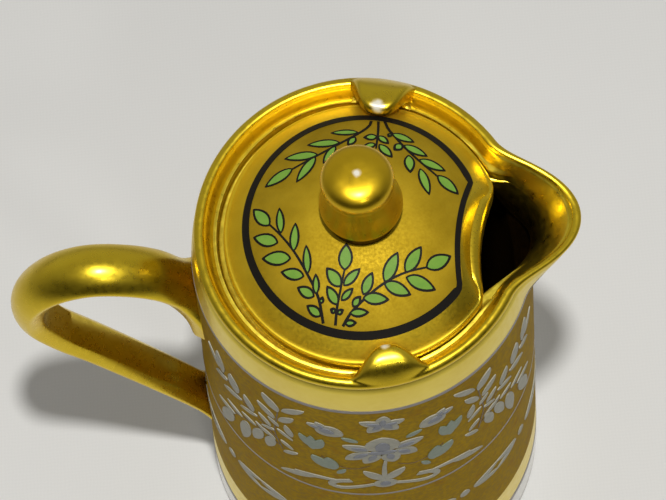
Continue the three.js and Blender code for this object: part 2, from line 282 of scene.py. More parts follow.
def bronzeGround():  # matt bronze gold rubbed over the wall: a dull ground with russet clouds
    ground = {"light": "#B1931F", "deep": "#957812", "russet": "#9A6D14", "cloudSize": 11, "patchSize": 4,
              "grainSize": 0.9}  # the powder's own grain is finer, and is drawn as coarse as the render shows it
    material, tree, shader, place = startMaterial("mattBronzeGilding", {
        "Metallic": 0.5, "Specular IOR Level": 0.08, "Specular Tint": linear("#B8A060")})
    cloud, patch, grain = (
        addNode(tree, "ShaderNodeTexNoise", {"Scale": perMetre(ground[size]), "Detail": detail}, {"Vector": place})
        for size, detail in (("cloudSize", 4), ("patchSize", 3), ("grainSize", 3)))
    tone = addNode(tree, "ShaderNodeMix", {"data_type": "RGBA", 6: linear(ground["deep"]), 7: linear(ground["light"])},
                   {0: cloud.outputs["Fac"]})
    speckle = addNode(tree, "ShaderNodeMapRange", {"From Min": 0.35, "From Max": 0.65, "To Min": 0.78, "To Max": 1.18},
                      {"Value": grain.outputs["Fac"]})
    tone = addNode(tree, "ShaderNodeVectorMath", {"operation": "SCALE"},
                   {0: tone.outputs[2], "Scale": speckle.outputs[0]})
    worn = addNode(tree, "ShaderNodeMapRange", {"From Min": 0.58, "From Max": 0.74, "To Max": 0.6},
                   {"Value": patch.outputs["Fac"]})
    colour = addNode(tree, "ShaderNodeMix", {"data_type": "RGBA", 7: linear(ground["russet"])},
                     {0: worn.outputs["Result"], 6: tone.outputs[0]})
    tree.links.new(colour.outputs[2], shader.inputs["Base Color"])
    rough = addNode(tree, "ShaderNodeMapRange", {"From Min": 0.3, "From Max": 0.7, "To Min": 0.48, "To Max": 0.62},
                    {"Value": grain.outputs["Fac"]})
    tree.links.new(rough.outputs["Result"], shader.inputs["Roughness"])
    bump = addNode(tree, "ShaderNodeBump", {"Strength": 0.3, "Distance": 0.02 * mm}, {"Height": grain.outputs["Fac"]})
    tree.links.new(bump.outputs["Normal"], shader.inputs["Normal"])
    return material


def enamel(name, light, deep, roughness, cloudSize=1.2, gloss=0.5):  # fired enamel: colour that pools in its stroke
    material, tree, shader, place = startMaterial(name, {"Roughness": roughness, "Specular IOR Level": gloss})
    cloud = addNode(tree, "ShaderNodeTexNoise", {"Scale": perMetre(cloudSize), "Detail": 3}, {"Vector": place})
    tone = addNode(tree, "ShaderNodeMix", {"data_type": "RGBA", 6: linear(deep), 7: linear(light)},
                   {0: cloud.outputs["Fac"]})
    tree.links.new(tone.outputs[2], shader.inputs["Base Color"])
    bump = addNode(tree, "ShaderNodeBump", {"Strength": 0.25, "Distance": 0.03 * mm}, {"Height": cloud.outputs["Fac"]})
    tree.links.new(bump.outputs["Normal"], shader.inputs["Normal"])
    return material


goldTones = {"light": "#E8CC36", "deep": "#D6B42A", "worn": "#D3D1C6"}  # worn is the white glaze below
burnished = gilding("burnishedGoldOverGlaze", {  # rubbed with agate: bright, with soft ripples
    **goldTones, "rippleSize": 9, "grainSize": 1.4, "grainDepth": 0.08, "roughFrom": 0.25, "roughTo": 0.34})
softened = gilding("halfBurnishedGold", {  # gallery and the lid's edge, rubbed less: a softer mirror
    **goldTones, "light": "#EFD94A", "deep": "#E0C43E", "rippleSize": 5, "grainSize": 1.2, "grainDepth": 0.2,
    "roughFrom": 0.27, "roughTo": 0.38,
    # the film's patches are stains, and its darkening from 122.3 mm down to 116 mm is painted shade
    "filmAndShade": {"colour": "#6E4B0E", "size": 3.2, "from": 0.57, "to": 0.76, "patchMost": 0.45,
             "shadeDepthFrom": 122.3, "shadeDepthTo": 116, "shadeMost": 0.93}})
bandGoldPaintedReflection = gilding("paleGoldBandPaintedReflection", {  # bands under the lip and over the foot, in a paler gold: a painted reflection of the pale floor they mirror
    **goldTones, "light": "#EBD65C", "deep": "#DCC148", "rippleSize": 9, "grainSize": 1.4, "grainDepth": 0.12,
    "roughFrom": 0.3, "roughTo": 0.4})
satin = gilding("satinGoldOverGlaze", {  # left as it leaves the kiln: an even sheen with clouds
    **goldTones, "light": "#D2B431", "deep": "#9A7E14", "rippleSize": 6, "grainSize": 0.5, "grainDepth": 0.35,
    "roughFrom": 0.63, "roughTo": 0.76})
knobGold = gilding("rubbedGoldKnob", {  # the most handled gold: smooth, deep in colour
    **goldTones, "light": "#E2BE2A", "deep": "#D6AE20", "rippleSize": 7, "grainSize": 2, "grainDepth": 0.05,
    "roughFrom": 0.27, "roughTo": 0.33})
shadedDarkGold = gilding("darkGoldPaintedShade", {  # inside of the jug and the knob's neck: gold painted dark brown and nearly matt, as painted shade
    **goldTones, "light": "#5C4014", "deep": "#33210A", "rippleSize": 4, "grainSize": 0.6, "grainDepth": 0.5,
    "roughFrom": 0.4, "roughTo": 0.55})
bronze = bronzeGround()
porcelain = enamel("glazedHardPorcelain", "#F1EEE6", "#E4E0D5", 0.14, 6)  # cold white under a clear glaze
greyEnamel = enamel("greyEnamelLine", "#8C8378", "#6F665E", 0.4)  # thin lines that edge the gold bands
whiteEnamel = enamel("raisedWhiteEnamel", "#B4B19E", "#929082", 0.5, 1.2, 0.3)  # thick strokes, chalky and warm
blueEnamel = enamel("raisedBlueGreyEnamel", "#8B8D92", "#72757F", 0.48, 1.2, 0.3)  # cool shade in the petals
brownEnamel = enamel("thinBrownEnamel", "#6B4F1C", "#543C12", 0.5)  # pen-thin stems, barely darker than the wall
sageEnamel = enamel("raisedSageEnamel", "#84917A", "#6A7868", 0.45)  # soft grey-green leaves
greenEnamel = enamel("leafGreenEnamel", "#7C9F3C", "#5C8A34", 0.5, 1.5, 0.15)  # flat opaque green that pools darker
blackEnamel = enamel("blackEnamelLine", "#15110A", "#0C0A06", 0.6, 1.2, 0.2)  # dull black outlines
report("materials made")


# Jug: foot, wall, beak, lip, lugs, gallery, neck and floor in one skin

jug = {
    "height": 126, "rim": 30.1, "bead": 1.15, "underLip": 29.75, "shoulderDepth": 11, "shoulder": 31.3,
    "foot": 36.7, "footWidth": 4.4, "footRecess": 2.6, "recessEdge": 2.2, "recessRound": 1.2, "footRound": 1,
    "wall": 3, "floor": 3.6, "floorRound": 7, "neckDepth": 10, "neck": 27.8, "lipStart": -48,
    "topLine": 115.1, "footLine": 13.5, "footBand": 26,
}
jugColumns = {"step": 1.8, "beakStep": 1, "beakHalf": 34, "lugStep": 0.75, "lugHalf": 16, "last": 0.3}  # degrees
beak = {
    "reach": 10.17, "halfAngle": 31, "depth": 24, "drop": 1.2,
    "flare": 2.7, "flareFrom": 0.2, "flareDepth": 16, "flareEase": 0.85, "lipIn": 0.55,
}
gallery = {  # inside of the neck; cuts are a distance from the beak's axis and a taper in degrees
    "depth": 4.7, "outer": 25.6, "ledge": 22.9, "thickness": 1.6, "ease": 0.5, "mouthEase": 1.3, "mouthAt": (30, 16),
    "frontCut": (14.9, 32.5), "rearCut": (8.85, 2), "leastShare": 0.004,
    "shoulder": 125, "shelfFade": (20, 22), "fineSteps": 64, "steps": 28,
    "shelf": [(27.95, 125.35), (27.6, 124.75), (27.25, 124.1), (26.98, 123.5), (26.82, 123.18), (26.7, 123.1),
              (26.5, 123.14), (26.2, 123.22), (26.05, 123.17), (25.98, 122.95), (25.95, 122), (25.9, 121.45)],
}
lugs = [  # side and end say how full the tongue is in plan, and flare how far its feet run out along the lip
    {"angle": -83.4, "tipReach": 23.35, "half": 7.1, "side": 1.3, "flare": 0.9, "end": 0.72, "rise": 3.1},
    {"angle": 77, "tipReach": 20.8, "half": 6.1, "side": 2.6, "flare": 0.35, "end": 0.65, "rise": 4.8},
]
lugTip = {"radius": 1.5, "joinDepth": 0.45, "leaveAt": 28, "crest": 2.7, "undercut": 2.5}


def beakReach(angle, depth):
    fade = 1 - max(depth, 0) / beak["depth"]
    half = beak["halfAngle"] * math.sqrt(max(fade, 0))
    if abs(angle) >= half:
        return 0
    return beak["reach"] * fade * math.cos(math.pi / 2 * angle / half) ** 2


def wallRadius(height):
    shoulder = jug["height"] - jug["shoulderDepth"]
    slope = (jug["shoulder"] - jug["foot"]) / shoulder
    if height <= shoulder:
        return jug["foot"] + slope * height
    rise = (height - shoulder) / jug["shoulderDepth"]
    lean = slope * jug["shoulderDepth"]
    return jug["shoulder"] + lean * rise + (jug["underLip"] - jug["shoulder"] - lean) * rise**2


def drawnOut(radius, height, angle):  # a point of the wall moved out and down with the beak
    reach = beakReach(angle, jug["height"] - height)
    return radius + reach, height - beak["drop"] * reach / beak["reach"]


def lipSection(angle):  # from the wall over the lip and its lug, with the place where the inner slope starts
    bead, top = jug["bead"], jug["height"] - jug["bead"]
    middle = jug["rim"] - bead
    pull, lug = 0, lugs[0]
    for each in lugs:
        away = turned(angle - each["angle"])
        across = abs(jug["rim"] * math.sin(math.radians(away))) / each["half"]
        if abs(away) < 90 and across < 1:
            full = 1 - across ** each["side"]
            pull, lug = blend(full, ease(full), each["flare"]) ** each["end"], each
    leave = blend(90, lugTip["leaveAt"], pull)
    points = arc(middle, top, bead, jug["lipStart"], leave, 14)
    endR = blend(middle, lug["tipReach"] + lugTip["radius"], pull)
    endZ = top + lug["rise"] * math.sin(math.pi / 2 * pull)
    tip = blend(bead, lugTip["radius"], pull)
    under = min(pull * lugTip["undercut"], 1)
    fromR, fromZ = points[-1]
    for share in spread(0, 1, 12)[1:-1]:
        points.append((blend(fromR, endR, share), blend(endZ + tip, fromZ, (1 - share) ** lugTip["crest"])))
    points += arc(endR, endZ, tip, 90, blend(gallery["shoulder"], 270, under), 14)
    start = arc(middle, top, bead, gallery["shoulder"], 180, 1)[0]
    return points, start, under * lugTip["joinDepth"]


def throat(angle, height):  # inner wall of the neck and beak, flared like a trumpet towards the lip
    depth = jug["height"] - height
    share = min(max((depth - beak["flareFrom"]) / beak["flareDepth"], 0), 1) ** beak["flareEase"]
    flare = beak["flare"] * math.sqrt(beakReach(angle, 0) / beak["reach"])
    radius, low = drawnOut(jug["neck"], height, angle)
    return radius - flare * math.sin(math.pi * share) + beak["lipIn"] * (1 - share) ** 2, low


def mouthEdge(angle):  # distance at which the gallery is cut away towards the beak, by hand and not evenly
    if abs(angle) > 80:  # far from the beak the ledge is whole
        return 0
    mouth, taper = gallery["frontCut"] if angle < 0 else gallery["rearCut"]
    start = math.sqrt(gallery["ledge"] ** 2 - mouth**2)
    slope = math.tan(math.radians(taper))
    a = math.radians(abs(angle))
    return (mouth + start * slope) / (math.sin(a) + slope * math.cos(a))


def innerSection(angle, start, join):  # the slope to the ledge, the ledge and its underside, cut away in the mouth
    seat = jug["height"] - gallery["depth"]
    wall = throat(angle, seat)[0]
    edge = max(mouthEdge(angle), gallery["ledge"])
    share = min(max((wall - edge) / (wall - gallery["ledge"]), gallery["leastShare"]), 1)
    reach = beakReach(angle, 0)

    def placed(radius, height):
        out, low = throat(angle, height)
        return blend(out, radius, share), low

    slope = []
    fadeFrom, fadeOver = gallery["shelfFade"]
    flat = ease(min(share, (abs(angle) - fadeFrom) / fadeOver))  # the shelf is a plain slope beside the beak
    line = evenly([start] + gallery["shelf"] + [(gallery["outer"], seat)], gallery["fineSteps"] + 1)
    line = evenly(line[round(join * gallery["fineSteps"]):], gallery["steps"] + 1)
    for t, (radius, height) in zip(spread(join, 1, gallery["steps"]), line):
        across = (start[0] - radius) / (start[0] - gallery["outer"])
        height = blend(blend(start[1], seat, t), height, flat)
        radius, low = placed(blend(start[0] + reach, gallery["outer"], across), height)
        slope.append((blend(start[0] + reach, radius, min(t * 8, 1)), low))  # leaves the lip without a step
    ledge = gallery["ledge"]
    mouthMiddle, mouthHalf = gallery["mouthAt"]
    edgeRound = blend(gallery["ease"], gallery["mouthEase"], ease(1 - abs(angle - mouthMiddle) / mouthHalf))
    raw = [(blend(gallery["outer"], ledge + edgeRound, t), seat - 0.02 * t) for t in (0.33, 0.66)]
    raw += arc(ledge + edgeRound, seat - edgeRound, edgeRound, 90, 180, 4)
    raw += [(ledge, seat - gallery["thickness"]), (blend(ledge, jug["neck"], 0.5), seat - gallery["thickness"] - 2)]
    return slope, [placed(radius, height) for radius, height in raw]


def jugColumn(angle):  # radius and height from the middle of the underside round to the middle of the inner floor
    foot, width, recess = jug["foot"], jug["footWidth"], jug["footRecess"]
    hollow, corner = jug["recessRound"], jug["footRound"]
    under = [(radius, recess) for radius in spread(0, foot - width - jug["recessEdge"], 4)]
    under += arc(foot - width - jug["recessEdge"], recess - hollow, hollow, 90, 0, 4)[1:]
    under += arc(foot - width + 0.2, corner, corner, 180, 270, 3) + arc(foot - 1.2, corner, corner, 270, 350, 4)
    heights = spread(1.6, jug["footLine"] - 1, 4) + [jug["footLine"] + 1]  # one ring on each side of a colour's edge
    heights += spread(18, jug["footBand"], 2) + spread(30, 98, 12)
    heights += spread(102, jug["topLine"] - 0.5, 9) + spread(jug["topLine"] + 0.5, 123.2, 8)  # closer in the beak
    wall = [drawnOut(wallRadius(height), height, angle) for height in heights]
    lip, start, join = lipSection(angle)
    slope, ledge = innerSection(angle, start, join)
    over = evenly([drawnOut(radius, height, angle) for radius, height in lip] + slope, 64)
    straight = jug["height"] - jug["neckDepth"]
    inside = [throat(angle, height) for height in spread(straight, straight - 2, 2)]
    for height in spread(straight - 5, 102, 4):
        share = ease((straight - height) / 8)
        radius, low = drawnOut(wallRadius(height) - jug["wall"], height, angle)
        inside.append((blend(throat(angle, height)[0], radius, share), low))
    floor = recess + jug["floor"]
    inside += [(wallRadius(height) - jug["wall"], height) for height in spread(90, floor + jug["floorRound"], 5)]
    flat = wallRadius(floor + jug["floorRound"]) - jug["wall"] - jug["floorRound"]
    inside += arc(flat, floor + jug["floorRound"], jug["floorRound"], 0, -90, 6)[1:]
    inside += [(radius, floor) for radius in spread(flat * 0.66, 0, 2)]
    return under + wall + over + ledge + inside


finish = {  # heights where the skin's finish changes, and how far inside the wall or rim
    "lipFrom": 124, "lipTop": 125.6, "paintedShadeBelow": 110, "galleryIn": 1.75, "insideIn": 1.5,
}


def wallMaterial(centre):
    radius = math.hypot(centre.x - axisX, centre.y) / mm
    angle = math.degrees(math.atan2(centre.y, centre.x - axisX))
    height = centre.z / mm
    reach = beakReach(angle, jug["height"] - height)
    if height < jug["footRecess"] + 2 and radius < jug["foot"] - finish["insideIn"]:  # under the foot
        return porcelain
    if height > finish["lipTop"]:
        return burnished
    if height > finish["paintedShadeBelow"] and radius < jug["rim"] + reach - finish["galleryIn"]:
        return softened
    # painted shade: the jug's inside below the gallery is dark brown gold
    if height <= finish["paintedShadeBelow"] and radius < wallRadius(height) + reach - finish["insideIn"]:
        return shadedDarkGold
    if height > jug["topLine"] or jug["footLine"] < height < jug["footBand"]:
        # painted reflection: the bands take a paler gold than the lip
        return bandGoldPaintedReflection if height < finish["lipFrom"] else burnished
    return porcelain if height < jug["footLine"] else bronze


def makeJug():
    angles, angle = [], -180
    while angle < 180 - jugColumns["last"]:
        angles.append(angle)
        if any(abs(turned(angle - lug["angle"])) < jugColumns["lugHalf"] for lug in lugs):
            angle += jugColumns["lugStep"]
        else:
            angle += jugColumns["beakStep"] if abs(angle) < jugColumns["beakHalf"] else jugColumns["step"]
    sections = [jugColumn(angle) for angle in angles]
    rings = [[spot(radius, angle, height) for (radius, height), angle in zip(ring, angles)]
             for ring in zip(*sections)]
    piece = ringPiece("jugSkin", rings)
    paint(piece, [burnished, bronze, porcelain, softened, shadedDarkGold, bandGoldPaintedReflection], wallMaterial)
    smooth(piece, 40)
    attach(piece, "jug")
    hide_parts("jug_body", "seat_ring", "lug_front", "lug_rear")
    report(f"jug skin, {len(piece.data.polygons)} faces")


makeJug()


# Handle, an ear with a round back and a flat inner face

handle = {
    "reach": 64.12, "drop": 93.4, "steps": 110, "faceShare": 0.68, "crown": 0.8, "rootShare": 0.08, "into": 1.2,
    "bendFrom": 0.35, "bendOver": 0.25,
    "upper": {"width": 10.2, "thickness": 6.2, "flare": 1.9},
    "lower": {"width": 9.2, "thickness": 4.5, "flare": 1.4},
    "line": [(0.45, 0.295), (0.517, 0.241), (0.589, 0.168), (0.679, 0.127), (0.788, 0.112), (0.891, 0.141),
             (0.974, 0.212), (1, 0.302), (0.949, 0.415), (0.855, 0.533), (0.726, 0.704), (0.623, 0.847),
             (0.564, 0.934), (0.511, 1)],
}


def handleSection(share):  # across and out, about the middle line
    bend = ease((share - handle["bendFrom"]) / handle["bendOver"])
    width, thickness, flare = (blend(handle["upper"][size], handle["lower"][size], bend)
                               for size in ("width", "thickness", "flare"))
    root = max(0, 1 - min(share, 1 - share) / handle["rootShare"]) ** 2
    swell = blend(1, flare, root)
    half, deep = width / 2 * swell, thickness / 2 * swell
    face = half * handle["faceShare"]
    points = []
    for a in spread(0, math.pi, 22):  # a crown between an ellipse and a parabola
        points.append((half * math.cos(a), deep * math.sin(a) ** (2 * handle["crown"])))
    corner = [(half * 0.995, -0.18 * deep), (half * 0.96, -0.3 * deep), (face * 1.06, -0.9 * deep),
              (face * 0.94, -deep)]  # the flat inner face, with its two eased edges
    points += [(-across, out) for across, out in corner] + [(0, -deep)] + corner[::-1]
    return points


def rooted(point, least=False):  # a point of the root, no deeper in the wall than the joint, or just that deep
    y, height = point.y / mm, point.z / mm
    joint = axisX - math.sqrt((wallRadius(height) - handle["into"]) ** 2 - y**2) * mm
    return Vector((joint if least else min(point.x, joint), point.y, point.z))


def makeHandle():
    line = [(-handle["reach"] * reach, jug["height"] - handle["drop"] * drop) for reach, drop in handle["line"]]
    line = curveThrough(line, handle["steps"] + 1)
    rings = []
    for i, (x, z, _) in enumerate(line):
        before, after = line[max(i - 1, 0)], line[min(i + 1, handle["steps"])]
        along = Vector((after[0] - before[0], 0, after[1] - before[1])).normalized()
        outward = Vector((0, 1, 0)).cross(along)
        ring = []
        for side, out in handleSection(i / handle["steps"]):
            point = Vector((x, 0, z)) + outward * out + Vector((0, side, 0))
            ring.append(Vector((axisX, 0, 0)) + point * mm)
        rings.append([rooted(point) for point in ring])
    ends = [[rooted(point, True) for point in ring] for ring in (rings[0], rings[-1])]
    piece = ringPiece("handleEar", [ends[0]] + rings + [ends[1]])
    paint(piece, [burnished])
    smooth(piece, 32)
    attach(piece, "jug")
    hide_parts("handle")
    report("handle")


makeHandle()


# Lid, a dome with a notch whose border rolls down

lid = {
    "columns": 240, "radius": 25.2, "turn": -10.7, "dome": 34.6, "edgeHeight": 2.9, "thickness": 3, "lift": 0.3,
    "seatWidth": 2.1, "seatHeight": 0.4, "seatIn": 0.6, "edgeRound": 0.6, "asideX": 0.5, "asideY": -0.45,
    "notchDepth": 3.8, "notchRadius": 36, "corner": 1.6, "roundAtNotch": 2, "notchFade": 1.5,
    "border": 4.25, "rollHeight": 124.6, "rollThickness": 1.4,
}
lidSeat = jug["height"] - gallery["depth"] + lid["lift"]
domeCentre = lidSeat + lid["edgeHeight"] - math.sqrt(lid["dome"] ** 2 - lid["radius"] ** 2)
notchAway = lid["radius"] - lid["notchDepth"] + lid["notchRadius"]  # from the lid's middle to the notch's own centre
borderGold = gilding("satinGoldBorder", {  # rim of the lid outside the ring, rubbed bright beside the notch
    **goldTones, "light": "#EDD03A", "deep": "#D8B428", "rippleSize": 5, "grainSize": 0.5, "grainDepth": 0.35,
    "roughFrom": 0.48, "roughTo": 0.6, "polishAt": spot(notchAway, lid["turn"], 124), "polishReach": (39.5, 45),
    "polishShare": 0.55})


def lidSpot(radius, angle, height):  # the loose lid lies a little off the jug's axis
    return spot(radius, angle, height) + Vector((lid["asideX"] * mm, lid["asideY"] * mm, 0))


def aroundLid(x, y):  # radius and angle about the lid's own middle
    x, y = x - lid["asideX"], y - lid["asideY"]
    return math.hypot(x, y), math.degrees(math.atan2(y, x))


def domeHeight(radius, inwards=0):
    return domeCentre + math.sqrt((lid["dome"] - inwards) ** 2 - radius**2)


def notchLine(angle, inside):  # distance to the notch, or to a line this far inside it
    a = math.radians(turned(angle - lid["turn"]))
    under = (lid["notchRadius"] + inside) ** 2 - (notchAway * math.sin(a)) ** 2
    if math.cos(a) <= 0 or under <= 0:
        return 99  # no notch this way
    return notchAway * math.cos(a) - math.sqrt(under)


def lidEdge(angle):
    return smaller(lid["radius"], notchLine(angle, 0), lid["corner"])


def lidHeight(radius, angle):  # outer face, with the roll beside the notch
    edge = lidEdge(angle)
    roll = max(domeHeight(edge) - lid["rollHeight"], 0)
    return domeHeight(radius) - roll * ease((radius - edge + lid["border"]) / lid["border"])


def lidColumn(angle):
    edge = lidEdge(angle)
    soft = blend(lid["edgeRound"], lid["roundAtNotch"], ease((lid["radius"] - edge) / lid["notchFade"]))
    shoulder = edge - soft
    border = edge - lid["border"]
    radii = spread(0, border, 14) + spread(border, shoulder, 9)[1:]
    top = [(radius, lidHeight(radius, angle)) for radius in radii]
    side = arc(shoulder, top[-1][1] - soft, soft, 90, 0, 6)[1:]
    bevel = lid["seatHeight"]
    below = [(edge, lidSeat + bevel), (edge - bevel, lidSeat), (edge - lid["seatWidth"], lidSeat)]
    inner = edge - lid["seatWidth"] - lid["seatIn"]
    hollow = [(radius, min(domeHeight(radius, lid["thickness"]), lidHeight(radius, angle) - lid["rollThickness"]))
              for radius in spread(inner, 0, 8)]
    return top + side + below + hollow


def lidMaterial(centre):
    radius, angle = aroundLid((centre.x - axisX) / mm, centre.y / mm)
    if centre.z / mm < lidHeight(radius, angle) - 1:  # side and underside
        return softened
    return satin if radius < lidEdge(angle) - lid["border"] else borderGold


def makeLid():
    angles = [360 * i / lid["columns"] for i in range(lid["columns"])]
    sections = [lidColumn(turned(angle)) for angle in angles]
    rings = [[lidSpot(radius, angle, height) for (radius, height), angle in zip(ring, angles)]
             for ring in zip(*sections)]
    piece = ringPiece("lidDome", rings)
    paint(piece, [softened, satin, borderGold], lidMaterial)
    smooth(piece, 40)
    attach(piece, "lid")
    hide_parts("lid_cover")
    report("lid")


makeLid()


# Knob, a bell with a low dome on an undercut neck

knob = {
    "columns": 96, "height": 17.9, "neck": 6.4, "neckHeight": 4, "neckRound": 0.2, "rootDepth": 0.6,
    "base": 7.35, "rim": 0.4, "side": [(7, 0.3), (6.42, 0.65)], "waist": 6.1,
    "cap": 6.4, "capHeight": 4.2, "capFull": 3, "capRound": 0.35, "leanX": -0.5, "leanY": -0.5,
}


def makeKnob():
    apex = domeHeight(0)
    foot = apex - knob["rootDepth"]
    base = domeHeight(knob["neck"]) + knob["neckHeight"]
    top = apex + knob["height"]
    equator = top - knob["capHeight"]
    fillet = knob["neckRound"]
    profile = [(0, foot), (knob["neck"], foot - 0.4), (knob["neck"], base - fillet)]
    profile += arc(knob["neck"] + fillet, base - fillet, fillet, 180, 90, 3)[1:]
    profile += arc(knob["base"] - knob["rim"], base + knob["rim"], knob["rim"], -90, 10, 7)
    waist = equator - knob["capRound"] * 2.6
    side = [(knob["base"] - 0.06, base + 1)] + [(radius, blend(base, waist, rise)) for radius, rise in knob["side"]]
    side.append((knob["waist"], waist))
    profile += [point[:2] for point in curveThrough(side, 16)]
    profile += arc(knob["cap"] - knob["capRound"], equator, knob["capRound"], -70, 0, 4)
    for a in spread(0, math.pi / 2, 24)[1:-1]:
        profile.append((knob["cap"] * math.cos(a) ** (2 / knob["capFull"]),
                        equator + knob["capHeight"] * math.sin(a) ** (2 / knob["capFull"])))
    profile.append((0, top))
    angles = [360 * i / knob["columns"] for i in range(knob["columns"])]
    rings = []
    for radius, height in profile:
        rise = max(height - base, 0) / (top - base)
        lean = rise * Vector((knob["leanX"], knob["leanY"], 0))
        rings.append([lidSpot(radius, angle, height) + lean * mm for angle in angles])
    piece = ringPiece("knobBell", rings)
    # painted shade: the neck and the underside of the bell's rim are dark gold, for the shade in the undercut
    paint(piece, [knobGold, shadedDarkGold], lambda centre: shadedDarkGold if centre.z < (base + 0.06) * mm else knobGold)
    smooth(piece, 40)
    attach(piece, "lid")
    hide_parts("lid_knob")
    report("knob")


makeKnob()


# Painting: every leaf, petal and stroke is a thin pad of enamel laid on the surface

def onLid(x, y, height):  # metres, on the lid's outer face
    radius, angle = aroundLid(x, y)
    return lidSpot(radius, angle, lidHeight(radius, angle) + height)


def onWall(middle):  # wall seen from outside: x to the right along the wall from a middle angle, y is the height
    def lay(x, y, height):
        angle = middle + math.degrees(x / jug["shoulder"])
        radius, low = drawnOut(wallRadius(y), y, turned(angle))
        return spot(radius + height, angle, low)
    return lay


def leafShape(base, tip, width, blunt=0.62):  # unit disc to a leaf from base to tip, rounder when blunter
    length = math.dist(base, tip)
    along = ((tip[0] - base[0]) / length, (tip[1] - base[1]) / length)

    def shape(x, y):
        reach = min(math.hypot(x, y), 1)
        turn = math.atan2(y, x)
        ahead = (1 + reach * math.cos(turn)) / 2 * length
        full = abs(math.sin(turn)) ** (1 / blunt) if turn else 0
        side = reach * math.copysign(full, math.sin(turn)) * width / 2 * (1 - 0.18 * math.cos(turn))  # fuller base
        return base[0] + along[0] * ahead - along[1] * side, base[1] + along[1] * ahead + along[0] * side
    return shape


def strokeShape(points, widths, closed=False):  # unit square to a stroke; widths at both ends, or from the place
    line = points if closed else [point[:2] for point in curveThrough(points, 40)]
    count = len(line) - 1

    def shape(x, y):
        share = (x + 1) / 2 * count
        i = min(int(share + 1e-6), count - 1)
        part = share - i
        spotX, spotY = (blend(a, b, part) for a, b in zip(line[i], line[i + 1]))
        before, after = line[max(i - 1, 0)], line[min(i + 2, count)]
        if closed and i in (0, count - 1):
            before, after = line[(i - 1) % count], line[(i + 2) % count]
        across = Vector((before[1] - after[1], after[0] - before[0])).normalized()
        width = widths(spotX, spotY) if callable(widths) else blend(*widths, share / count)
        return spotX + across.x * y * width / 2, spotY + across.y * y * width / 2
    return shape


padCuts = {"leaf": 20, "stroke": 16, "ring": 180}  # points round a leaf, steps along a stroke or a ring


def paintPads(name, pads, lay, coat, material, body):
    height, thickness = coat
    deselectAll()
    bpy.ops.mesh.primitive_circle_add(vertices=3, radius=mm)  # removed again once there are pads
    piece = bpy.context.object
    piece.name = piece.data.name = name
    bpy.ops.object.mode_set(mode="EDIT")
    bpy.ops.mesh.delete(type="VERT")
    for kind, shape in pads:
        bpy.ops.mesh.select_all(action="DESELECT")
        if kind == "leaf":
            bpy.ops.mesh.primitive_circle_add(vertices=padCuts[kind], radius=1, fill_type="TRIFAN")
        else:
            bpy.ops.mesh.primitive_grid_add(x_subdivisions=padCuts[kind], y_subdivisions=1, size=2)
        for vertex in bmesh.from_edit_mesh(piece.data).verts:
            if vertex.select:
                x, y = shape(vertex.co.x, vertex.co.y)
                vertex.co = lay(x, y, height)
    bpy.ops.mesh.select_all(action="SELECT")
    bpy.ops.mesh.remove_doubles(threshold=0.002 * mm)
    bpy.ops.object.mode_set(mode="OBJECT")
    applyModifier(piece, "SOLIDIFY", thickness=thickness * mm, offset=0)
    selectOnly(piece)
    bpy.ops.object.mode_set(mode="EDIT")
    faceOutwards()
    paint(piece, [material])
    smooth(piece, 50)
    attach(piece, body)
    return piece


# Lid painting

